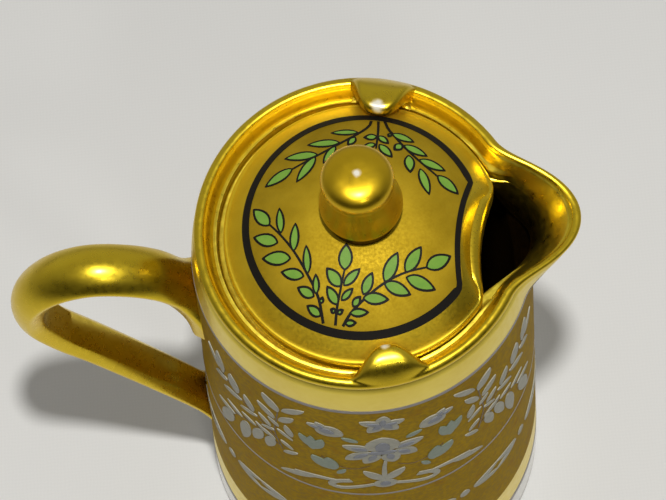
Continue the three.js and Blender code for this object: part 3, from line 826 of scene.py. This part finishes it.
lidSprays = [  # stem points, then leaves as base, tip and width, in the plan of the lid
    {"stem": [(-7.8, -18.7), (-8.3, -14.5), (-10, -10.2), (-12, -6), (-14.2, -2.5), (-16, -0.1)],
     "leaves": [((-8.1, -17.5), (-10.4, -15.5), 1.6), ((-9, -14.3), (-11.8, -12.3), 1.8),
                ((-10.5, -10.7), (-14.5, -9.1), 2), ((-12.6, -7.2), (-17.7, -5.9), 2.5),
                ((-14.7, -3.9), (-19, -1.6), 2.3), ((-16, -0.3), (-18.7, 3.8), 2.3),
                ((-14, -2.3), (-14, 2.5), 1.5), ((-12, -6.1), (-11.3, -1.1), 1.7),
                ((-9.8, -10.4), (-9.7, -5.5), 1.5), ((-8.6, -14), (-8.4, -10.7), 1.3),
                ((-8, -15.6), (-7.5, -14.6), 0.9)]},
    {"stem": [(-5.7, -19.3), (-5.2, -16.8), (-4.2, -13.6), (-3.5, -11.3), (-3.1, -10.2)],
     "leaves": [((-3.3, -10.8), (-2.6, -6.3), 2.5), ((-4.2, -13.4), (-6.4, -10), 2.2),
                ((-3.7, -13.3), (-0.6, -10.8), 1.7), ((-5, -16.2), (-6.6, -13), 1.8),
                ((-4.3, -15.6), (-2.1, -13.9), 1.3), ((-5.5, -17.3), (-6.3, -16.7), 0.9),
                ((-5.2, -17.6), (-4.1, -17.1), 0.9)]},
    {"stem": [(-4.4, -19.6), (-3, -17.9), (0, -15.6), (3.5, -13.4), (7.3, -11.8), (11, -10.9)],
     "leaves": [((-4, -19.2), (-2, -19.3), 1.1), ((-3, -17.7), (0.3, -17.9), 1.4),
                ((-2.4, -16.8), (-0.9, -15.3), 1.4), ((-0.5, -15.6), (4, -16.1), 2),
                ((-0.4, -15.1), (1.5, -11.6), 1.9), ((3.4, -13.5), (7.9, -15.4), 2.3),
                ((3.5, -13.3), (6.2, -8.4), 2.3), ((7.3, -12.6), (12.3, -14.5), 2.4),
                ((7.3, -11.8), (10.4, -7.4), 2.3), ((11, -11), (15.5, -8.7), 2.5)]},
    {"stem": [(3.6, 19.3), (3.2, 18), (1.2, 16.2), (-2.5, 14), (-6.3, 12.1), (-11.2, 10)],
     "leaves": [((1, 16.4), (-3.8, 17), 1.4), ((-2.4, 14.3), (-8.2, 14.9), 1.8),
                ((-6.5, 12.2), (-12.5, 12.8), 2), ((-11.2, 10.1), (-16.3, 7.7), 2.2),
                ((-6.9, 11.7), (-10.6, 7), 1.9), ((-3.2, 13.5), (-5.6, 10), 1.6),
                ((0.5, 15.2), (-1, 13.4), 1.4)]},
    {"stem": [(4.9, 19.1), (4.6, 16), (4, 12.2)],
     "leaves": [((4.4, 15), (2, 15), 1.5), ((4.6, 15.2), (6.3, 13.3), 1.4), ((4, 13.2), (1.7, 12.7), 1.3),
                ((4.6, 13.1), (6.7, 10.1), 1.7)]},
    {"stem": [(6, 19.2), (6.6, 16.8), (7.5, 15.2), (9, 12.6), (11.5, 9.4), (14.5, 6.3)],
     "leaves": [((7.1, 15.7), (10.9, 13.8), 1.7), ((9, 12.9), (13, 10.6), 1.8), ((11.5, 9.7), (16, 7.7), 1.9),
                ((14.5, 6.5), (17.9, 3.1), 2.2), ((8.7, 13.1), (7.2, 11.8), 1.6), ((9.7, 10.6), (9.7, 6.8), 1.9),
                ((11.5, 7.7), (12.7, 2.4), 1.8), ((6.9, 15.8), (6.4, 15), 0.8)]},
]
lidPaint = {  # each coat is its height over the dome and its thickness
    "outline": 0.62, "bleed": 0.16, "stemWidths": (0.52, 0.34), "ring": 1.3, "ringAtNotch": 0.95,
    "outlineCoat": (0.03, 0.1), "leafCoat": (0.07, 0.1), "ringCoat": (0.04, 0.12),
}


def widened(base, tip, width, by):  # the outline that shows round a leaf
    length = math.dist(base, tip)
    ax, ay = (tip[0] - base[0]) / length * by / 2, (tip[1] - base[1]) / length * by / 2
    return (base[0] - ax, base[1] - ay), (tip[0] + ax * 1.6, tip[1] + ay * 1.6), width + by


def paintLid():
    outlines, leaves = [], []
    for spray in lidSprays:
        outlines.append(("stroke", strokeShape(spray["stem"], lidPaint["stemWidths"])))
        for base, tip, width in spray["leaves"]:
            outlines.append(("leaf", leafShape(*widened(base, tip, width, lidPaint["bleed"]))))
            leaves.append(("leaf", leafShape(*widened(base, tip, width, -lidPaint["outline"]))))
    paintPads("lidLeafOutlines", outlines, onLid, lidPaint["outlineCoat"], blackEnamel, "lid")
    paintPads("lidLeaves", leaves, onLid, lidPaint["leafCoat"], greenEnamel, "lid")
    line = []
    for angle in spread(0, 360, 180):
        radius = min(lid["radius"] - lid["border"], notchLine(angle, lid["border"]))
        line.append((lid["asideX"] + radius * math.cos(math.radians(angle)),
                     lid["asideY"] + radius * math.sin(math.radians(angle))))

    def ringWidth(x, y):
        radius, angle = aroundLid(x, y)
        away = (notchLine(angle, lid["border"]) - radius) / lid["notchFade"]
        return blend(lidPaint["ringAtNotch"], lidPaint["ring"], ease(away))

    ring = ("ring", strokeShape(line, ringWidth, closed=True))
    paintPads("lidRingLine", [ring], onLid, lidPaint["ringCoat"], blackEnamel, "lid")
    report("lid painting")


paintLid()


# Wall painting: a blossom over a ribbon bow, leaf branches on both sides, and a line under them, front and rear

wallPaint = {  # middles in degrees, each coat is its height over the wall and its thickness
    "middles": (-88.3, 91.7), "raisedCoat": (0.05, 0.24), "shadeCoat": (0.15, 0.24), "thinCoat": (0.02, 0.08),
    "lineCoat": (0.02, 0.1), "topLine": (-0.7, 0.5), "footLine": (-1.2, 0.8), "line": 68, "lineWidth": 0.7,
    "stemWidths": (0.3, 0.24), "shadeShare": 0.42, "shadeFrom": 0.12, "shadeTo": 0.68,
}
blossom = [  # base, tip and width of each petal, from the middle of the front
    ((-2.2, 94.6), (-7.3, 96.7), 3.3), ((2.2, 94.6), (7.6, 96.7), 3.3), ((-2.2, 93.4), (-6.9, 89), 3.3),
    ((2.4, 93.4), (6.2, 89.8), 3.4), ((-1, 92.4), (-3.4, 87.2), 3.1), ((1, 92.4), (1.9, 87), 3.5),
    ((0, 93.2), (0, 101), 6.4),
]
starFlower = [((0.2, 107.4), (0.6, 112.3), 2.9), ((0.4, 107.6), (-3.9, 110), 2.8), ((0, 107.6), (4.3, 109.2), 2.8),
              ((0.4, 108.6), (-2.4, 104.5), 3), ((0, 108.6), (3, 104.8), 3)]
budFlower = [((-12, 104.6), (-7, 102.2), 5.2), ((-11.2, 104.4), (-13.7, 105.4), 2),
             ((-10.4, 104.6), (-12, 107), 1.8)]
blossomEye = [((-2.6, 93), (2.6, 93), 1.7), ((0, 94), (0, 96), 2.6)]
sageLeaves = [((-4.4, 99), (-7.4, 100.9), 1.5), ((-12.8, 92.2), (-15.4, 97.8), 2.1), ((-12.6, 92), (-11, 97.8), 2.3),
              ((-12.9, 91.4), (-13.2, 98.2), 2.2), ((-9.6, 82.2), (-13.2, 87.6), 3.4), ((-9.4, 82), (-10.2, 88.2), 3),
              ((-8.6, 80), (-7, 82.8), 1.2)]
branches = [  # stems and leaves of one side, mirrored for the other
    {"stem": [(-19.2, 83.5), (-20.6, 92), (-20, 99), (-19.4, 105.6)],
     "leaves": [((-19.5, 104.4), (-22.6, 110.2), 2.7), ((-18.6, 106), (-14, 110.8), 1.9),
                ((-20.4, 99.4), (-24, 103.6), 2.2), ((-19.4, 99.6), (-16.3, 104.3), 1.8),
                ((-19.6, 96), (-21.8, 98.6), 1.3), ((-21.4, 93.4), (-24, 97), 1.5),
                ((-17, 93.6), (-18.2, 98.7), 1.6), ((-20, 94.4), (-16.8, 91.6), 1.2),
                ((-20.6, 92.8), (-23.6, 90.8), 1.2), ((-20.6, 87), (-23.4, 89.4), 1.2),
                ((-19.4, 88.8), (-16.9, 86), 1.2), ((-19, 82.6), (-16, 85.2), 1.4)]},
    {"stem": [(-19.8, 88), (-24, 93), (-30, 96.6), (-35, 99.6)],
     "leaves": [((-25.4, 94.8), (-27.4, 100.4), 2), ((-24.4, 94), (-28.8, 91.4), 1.5),
                ((-28.2, 95.8), (-33.6, 92.2), 1.9), ((-29.6, 97), (-31, 104), 2.9),
                ((-32.2, 98.4), (-36.2, 94.8), 1.9), ((-33.6, 99.4), (-35, 107.6), 2.5),
                ((-34.8, 99.4), (-38.6, 104), 2)]},
    {"stem": [(-19.4, 85), (-23, 87.6), (-28, 85.4), (-33, 79.4)],
     "leaves": [((-21.2, 87.2), (-22.6, 80.4), 2.3), ((-23.8, 87), (-25.8, 79), 2.4), ((-22.2, 87.4), (-25, 90), 1.2),
                ((-25, 87.4), (-28.6, 88.2), 1.4), ((-27.4, 84.4), (-28.8, 73), 2.8), ((-28.6, 84.9), (-33, 85.6), 1.7),
                ((-30.8, 81.8), (-36.4, 79.2), 1.8), ((-31.8, 80.2), (-35.4, 69.2), 3.2)]},
]
ribbon = {
    "knot": ((0.1, 72.4), (0.1, 77.2), 4.4), "eye": ((0.1, 73.6), (0.1, 76), 1.9),
    "loop": ((-0.2, 76.8), (-3.8, 82.4), 2.3), "stem": [(0.4, 88), (0.1, 84.5), (0, 78)],
    "tail": [(-0.8, 75), (-4.4, 73.2), (-8.6, 71.6), (-9.9, 72.6), (-9, 75), (-6.2, 76.4)],
    "end": [(-8, 75.4), (-12, 75.4), (-14.6, 74.7), (-16.6, 73.8)], "point": ((-12.8, 75.2), (-20, 71), 2.2),
    "garland": [(-11.4, 88.4), (-9, 84.8), (-5.6, 83.4), (-2.6, 85.2)],
    "stemWidths": (0.6, 1.1), "tailWidths": (1, 1.6), "endWidths": (0.9, 1.9), "garlandWidths": (0.26, 0.2),
}
lowerFrieze = {
    "height": 50, "count": 12, "leaf": 2.2, "length": 6.5, "rise": 2.6, "from": 2, "dot": 2.2, "dotHalf": 1.6,
}


def mirrored(points):
    return [(-x, y) for x, y in points]


def mirroredLeaf(leaf):
    return (-leaf[0][0], leaf[0][1]), (-leaf[1][0], leaf[1][1]), leaf[2]


def bothSides(leaves):
    return leaves + [mirroredLeaf(leaf) for leaf in leaves]


def leafPads(leaves):
    return [("leaf", leafShape(*leaf, blunt=0.75)) for leaf in leaves]


def strokePads(lines, widths):
    return [("stroke", strokeShape(line, widths)) for line in lines]


def paintWall(side, middle):
    lay = onWall(middle)
    petals = blossom + starFlower + bothSides(budFlower)
    white = leafPads(petals)
    for branch in branches:
        white += leafPads(bothSides(branch["leaves"]))
    white += leafPads([ribbon["knot"]] + bothSides([ribbon["loop"], ribbon["point"]]))
    white += strokePads([ribbon["stem"]], ribbon["stemWidths"])
    white += strokePads([ribbon["tail"], mirrored(ribbon["tail"])], ribbon["tailWidths"])
    white += strokePads([ribbon["end"], mirrored(ribbon["end"])], ribbon["endWidths"])
    paintPads("whiteSprays" + side, white, lay, wallPaint["raisedCoat"], whiteEnamel, "jug")
    sage = leafPads(bothSides(sageLeaves))
    paintPads("sageLeaves" + side, sage, lay, wallPaint["raisedCoat"], sageEnamel, "jug")
    stems = [line for branch in branches for line in (branch["stem"], mirrored(branch["stem"]))]
    thin = strokePads(stems, wallPaint["stemWidths"])
    thin += strokePads([ribbon["garland"], mirrored(ribbon["garland"])], ribbon["garlandWidths"])
    paintPads("thinStems" + side, thin, lay, wallPaint["thinCoat"], brownEnamel, "jug")
    shades = blossomEye + [ribbon["eye"]]
    for base, tip, width in petals:  # a cool stroke down the middle of each petal
        start, end = (tuple(blend(a, b, wallPaint[share]) for a, b in zip(base, tip))
                      for share in ("shadeFrom", "shadeTo"))
        shades.append((start, end, width * wallPaint["shadeShare"]))
    paintPads("blueShades" + side, leafPads(shades), lay, wallPaint["shadeCoat"], blueEnamel, "jug")


def bandPad(middle, below, above):  # a line that runs right round the wall
    def shape(x, y):
        return x * 180, blend(middle + below, middle + above, (y + 1) / 2)
    return "ring", shape


def roundWall(x, y, height):  # x in degrees
    radius, low = drawnOut(wallRadius(y), y, turned(x))
    return spot(radius + height, x, low)


def paintLines():
    half = wallPaint["lineWidth"] / 2
    lines = [bandPad(jug["topLine"], *wallPaint["topLine"]), bandPad(jug["footLine"], *wallPaint["footLine"]),
             bandPad(wallPaint["line"], -half, half)]
    paintPads("greyLines", lines, roundWall, wallPaint["lineCoat"], greyEnamel, "jug")


def paintFrieze():  # crossed leaves with a dot between them
    pads = []
    perDegree = math.radians(1) * jug["shoulder"]
    height, start, dot = lowerFrieze["height"], lowerFrieze["from"], lowerFrieze["dotHalf"]
    for i in range(lowerFrieze["count"]):
        middle = i * 360 / lowerFrieze["count"] * perDegree
        for way in (-1, 1):
            for rise in (-lowerFrieze["rise"], lowerFrieze["rise"]):
                tip = (middle + way * (start + lowerFrieze["length"]), height + rise)
                pads.append(((middle + way * start, height), tip, lowerFrieze["leaf"]))
        pads.append(((middle, height - dot), (middle, height + dot), lowerFrieze["dot"]))
    paintPads("lowerFrieze", leafPads(pads), onWall(0), wallPaint["raisedCoat"], whiteEnamel, "jug")


for side, middle in zip(("Front", "Rear"), wallPaint["middles"]):
    paintWall(side, middle)
paintLines()
paintFrieze()
report("wall painting")


# Floor, lamps, world and camera

studio = {  # lamps in watts, sizes in metres, lamp places in mm from the jug's foot
    "floorSize": 6, "zenith": 0.32, "roomFront": 0.04, "roomBack": 0.43, "roomTurn": 0.6, "bandLow": 0.42,
    "bandHigh": 1, "air": "#F6F5F3",
    "key": 2.66, "keySize": 0.03, "keyAt": (11, -88, 650),
    "window": 1, "windowSize": 0.16, "windowAt": (230, -800, 1150),
}
aim = Vector((axisX, 0, jug["height"] * mm))  # metres, the middle of the rim


def makeFloor():  # woven linen: matt and off-white, its threads only just seen
    cloth = {"light": "#E3E2DE", "deep": "#DEDDD9", "wobble": 5, "cloudSize": 30,
             "thread": 0.8}  # threads of about 0.4 mm, drawn as coarse as the render shows them
    waveLength = 0.314  # metres between the bands of a wave texture whose scale is 1
    deselectAll()
    bpy.ops.mesh.primitive_plane_add(size=studio["floorSize"])
    floor = bpy.context.object
    floor.name = "floor"
    material, tree, shader, place = startMaterial("paleLinenCloth", {"Roughness": 0.9, "Specular IOR Level": 0.1})
    threads = []
    for direction in ("X", "Y"):
        threads.append(addNode(tree, "ShaderNodeTexWave", {
            "bands_direction": direction, "Scale": waveLength * perMetre(cloth["thread"]),
            "Distortion": cloth["wobble"], "Detail": 3, "Detail Scale": 0.6}, {"Vector": place}).outputs["Fac"])
    weave = addNode(tree, "ShaderNodeMix", {"data_type": "FLOAT", 0: 0.5}, {2: threads[0], 3: threads[1]})
    cloud = addNode(tree, "ShaderNodeTexNoise", {"Scale": perMetre(cloth["cloudSize"]), "Detail": 3},
                    {"Vector": place})
    both = addNode(tree, "ShaderNodeMix", {"data_type": "FLOAT", 0: 0.5},
                   {2: weave.outputs[0], 3: cloud.outputs["Fac"]})
    tone = addNode(tree, "ShaderNodeMix", {"data_type": "RGBA", 6: linear(cloth["deep"]), 7: linear(cloth["light"])},
                   {0: both.outputs[0]})
    tree.links.new(tone.outputs[2], shader.inputs["Base Color"])
    floor.data.materials.append(material)


def makeLamp(name, place, size, power):  # an area lamp at a place in mm that looks at the rim
    at = Vector((axisX, 0, 0)) + Vector(place) * mm
    deselectAll()
    bpy.ops.object.light_add(type="AREA", location=at)
    lamp = bpy.context.object
    lamp.name = name
    lamp.data.shape = "DISK"
    lamp.data.size = size
    lamp.data.energy = power
    lamp.rotation_euler = (at - aim).to_track_quat("Z", "Y").to_euler()


def makeWorld():  # a plain room, darkest low in front, which the gold there mirrors
    world = bpy.data.worlds.new("paleRoom")
    bpy.context.scene.world = world
    world.use_nodes = True
    tree = world.node_tree
    background = tree.nodes["Background"]
    place = addNode(tree, "ShaderNodeTexCoord")
    way = addNode(tree, "ShaderNodeSeparateXYZ", links={0: place.outputs["Generated"]})
    around = addNode(tree, "ShaderNodeMapRange", {
        "From Min": -studio["roomTurn"], "From Max": studio["roomTurn"], "To Min": studio["roomFront"],
        "To Max": studio["roomBack"]}, {"Value": way.outputs["Y"]})
    level = addNode(tree, "ShaderNodeMapRange", {
        "interpolation_type": "SMOOTHSTEP", "From Min": studio["bandLow"], "From Max": studio["bandHigh"],
        "To Max": studio["zenith"]}, {"Value": way.outputs["Z"], "To Min": around.outputs[0]})
    background.inputs["Color"].default_value = linear(studio["air"])
    tree.links.new(level.outputs[0], background.inputs["Strength"])


view = {  # distance and shift in mm, angles in degrees
    "lens": 130.3, "distance": 432.67, "elevation": 68.81, "roll": -6, "turn": 1.5, "across": -4.842, "up": -4.02,
}


def makeCamera():  # looks at the middle of the rim, from over the front of the jug
    elevation, roll = math.radians(view["elevation"]), math.radians(view["roll"])
    back = Vector((0, -math.cos(elevation), math.sin(elevation)))
    right = Vector((1, 0, 0))
    up = back.cross(right)
    across = math.cos(roll) * right + math.sin(roll) * up
    upward = -math.sin(roll) * right + math.cos(roll) * up
    place = view["distance"] * back + view["across"] * across + view["up"] * upward
    turn = Matrix.Rotation(math.radians(view["turn"]), 4, "Z")
    frameAxes = Matrix((across, upward, back)).transposed().to_4x4()
    deselectAll()
    bpy.ops.object.camera_add()
    camera = bpy.context.object
    camera.data.lens = view["lens"]
    camera.matrix_world = Matrix.Translation(aim) @ turn @ Matrix.Translation(place * mm) @ frameAxes
    bpy.context.scene.camera = camera


makeFloor()
makeWorld()
makeLamp("keyLamp", studio["keyAt"], studio["keySize"], studio["key"])
makeLamp("windowLamp", studio["windowAt"], studio["windowSize"], studio["window"])
makeCamera()
bpy.context.scene.view_settings.view_transform = "Standard"
report("stage made")
